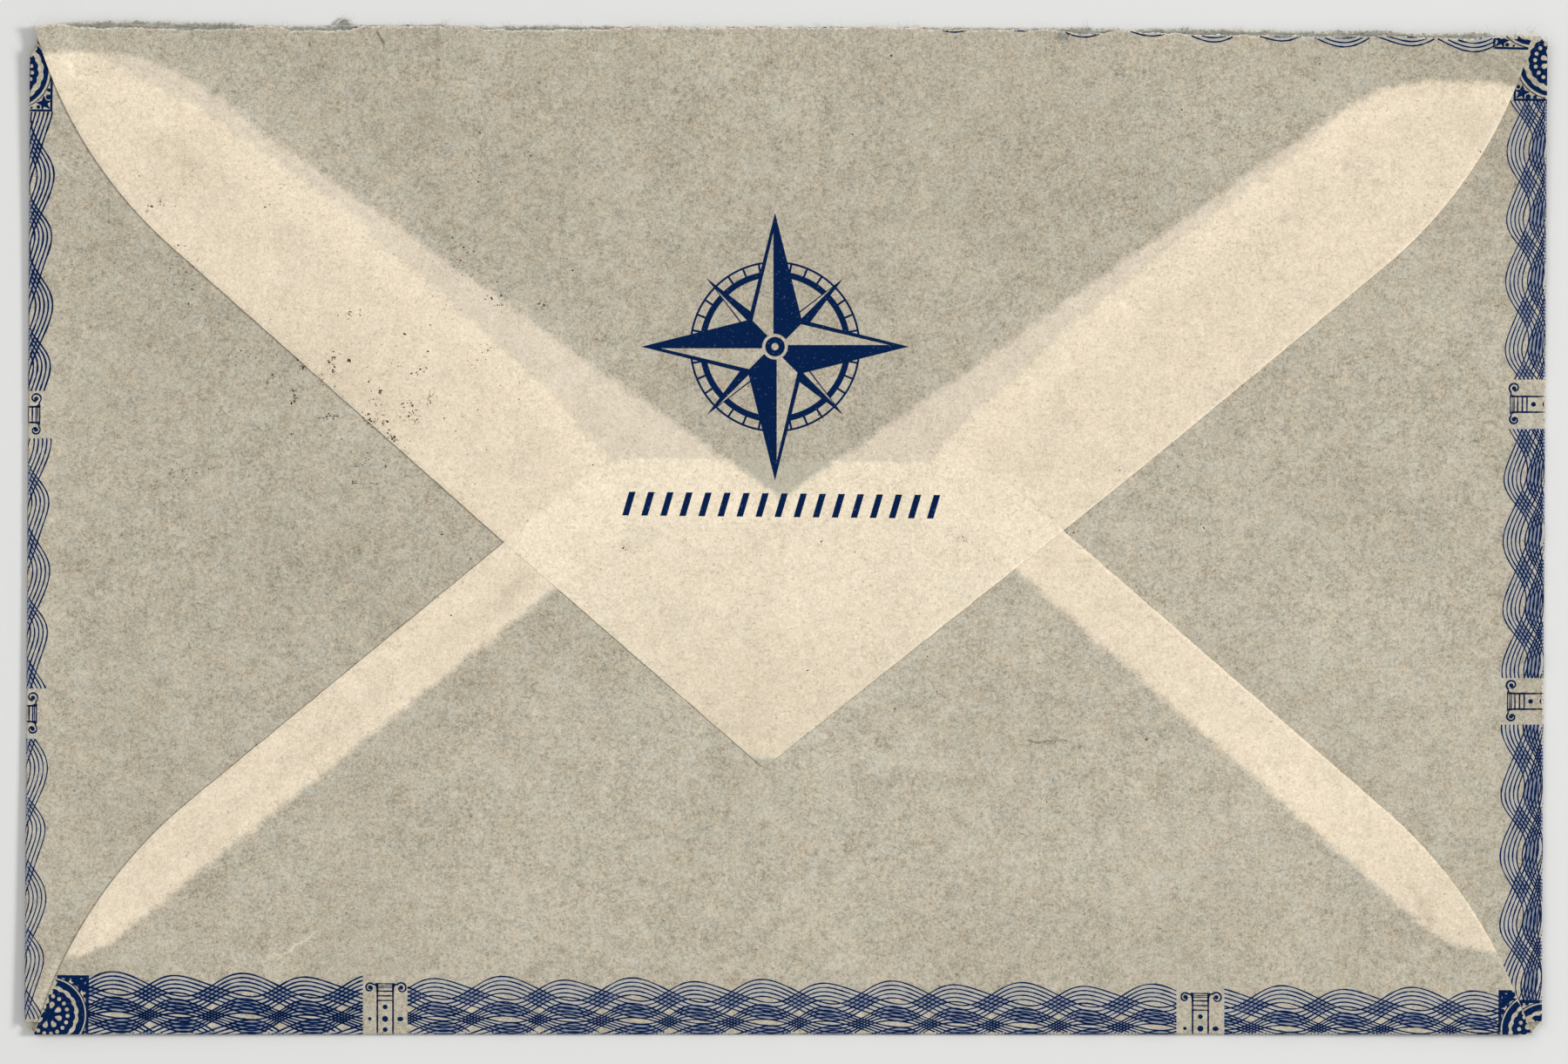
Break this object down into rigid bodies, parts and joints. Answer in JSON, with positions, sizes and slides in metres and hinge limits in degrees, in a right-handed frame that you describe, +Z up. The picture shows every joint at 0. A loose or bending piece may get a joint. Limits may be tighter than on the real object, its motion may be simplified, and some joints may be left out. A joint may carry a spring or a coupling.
{
  "type": "air mail envelope",
  "caption": "Small air-mail envelope of thin translucent paper, back up, slit open along the top, with gummed flaps and a printed border.",
  "frame": {"origin": "under the middle of the front panel, on the surface that the envelope lies on", "axes": "+X along the bottom fold, +Y towards the slit top edge, +Z up out of the flaps"},
  "size_m": [0.148, 0.0982, 0.0005],
  "materials": {
    "sheet_paper": "thin uncoated grey-white air-mail paper with dark blue line printing",
    "flap_paper": "thin uncoated grey-white air-mail paper with dark blue printing"
  },
  "bodies": {
    "root": {"envelope_body": "sheet_paper", "top_flap": "flap_paper"}
  },
  "joints": []
}
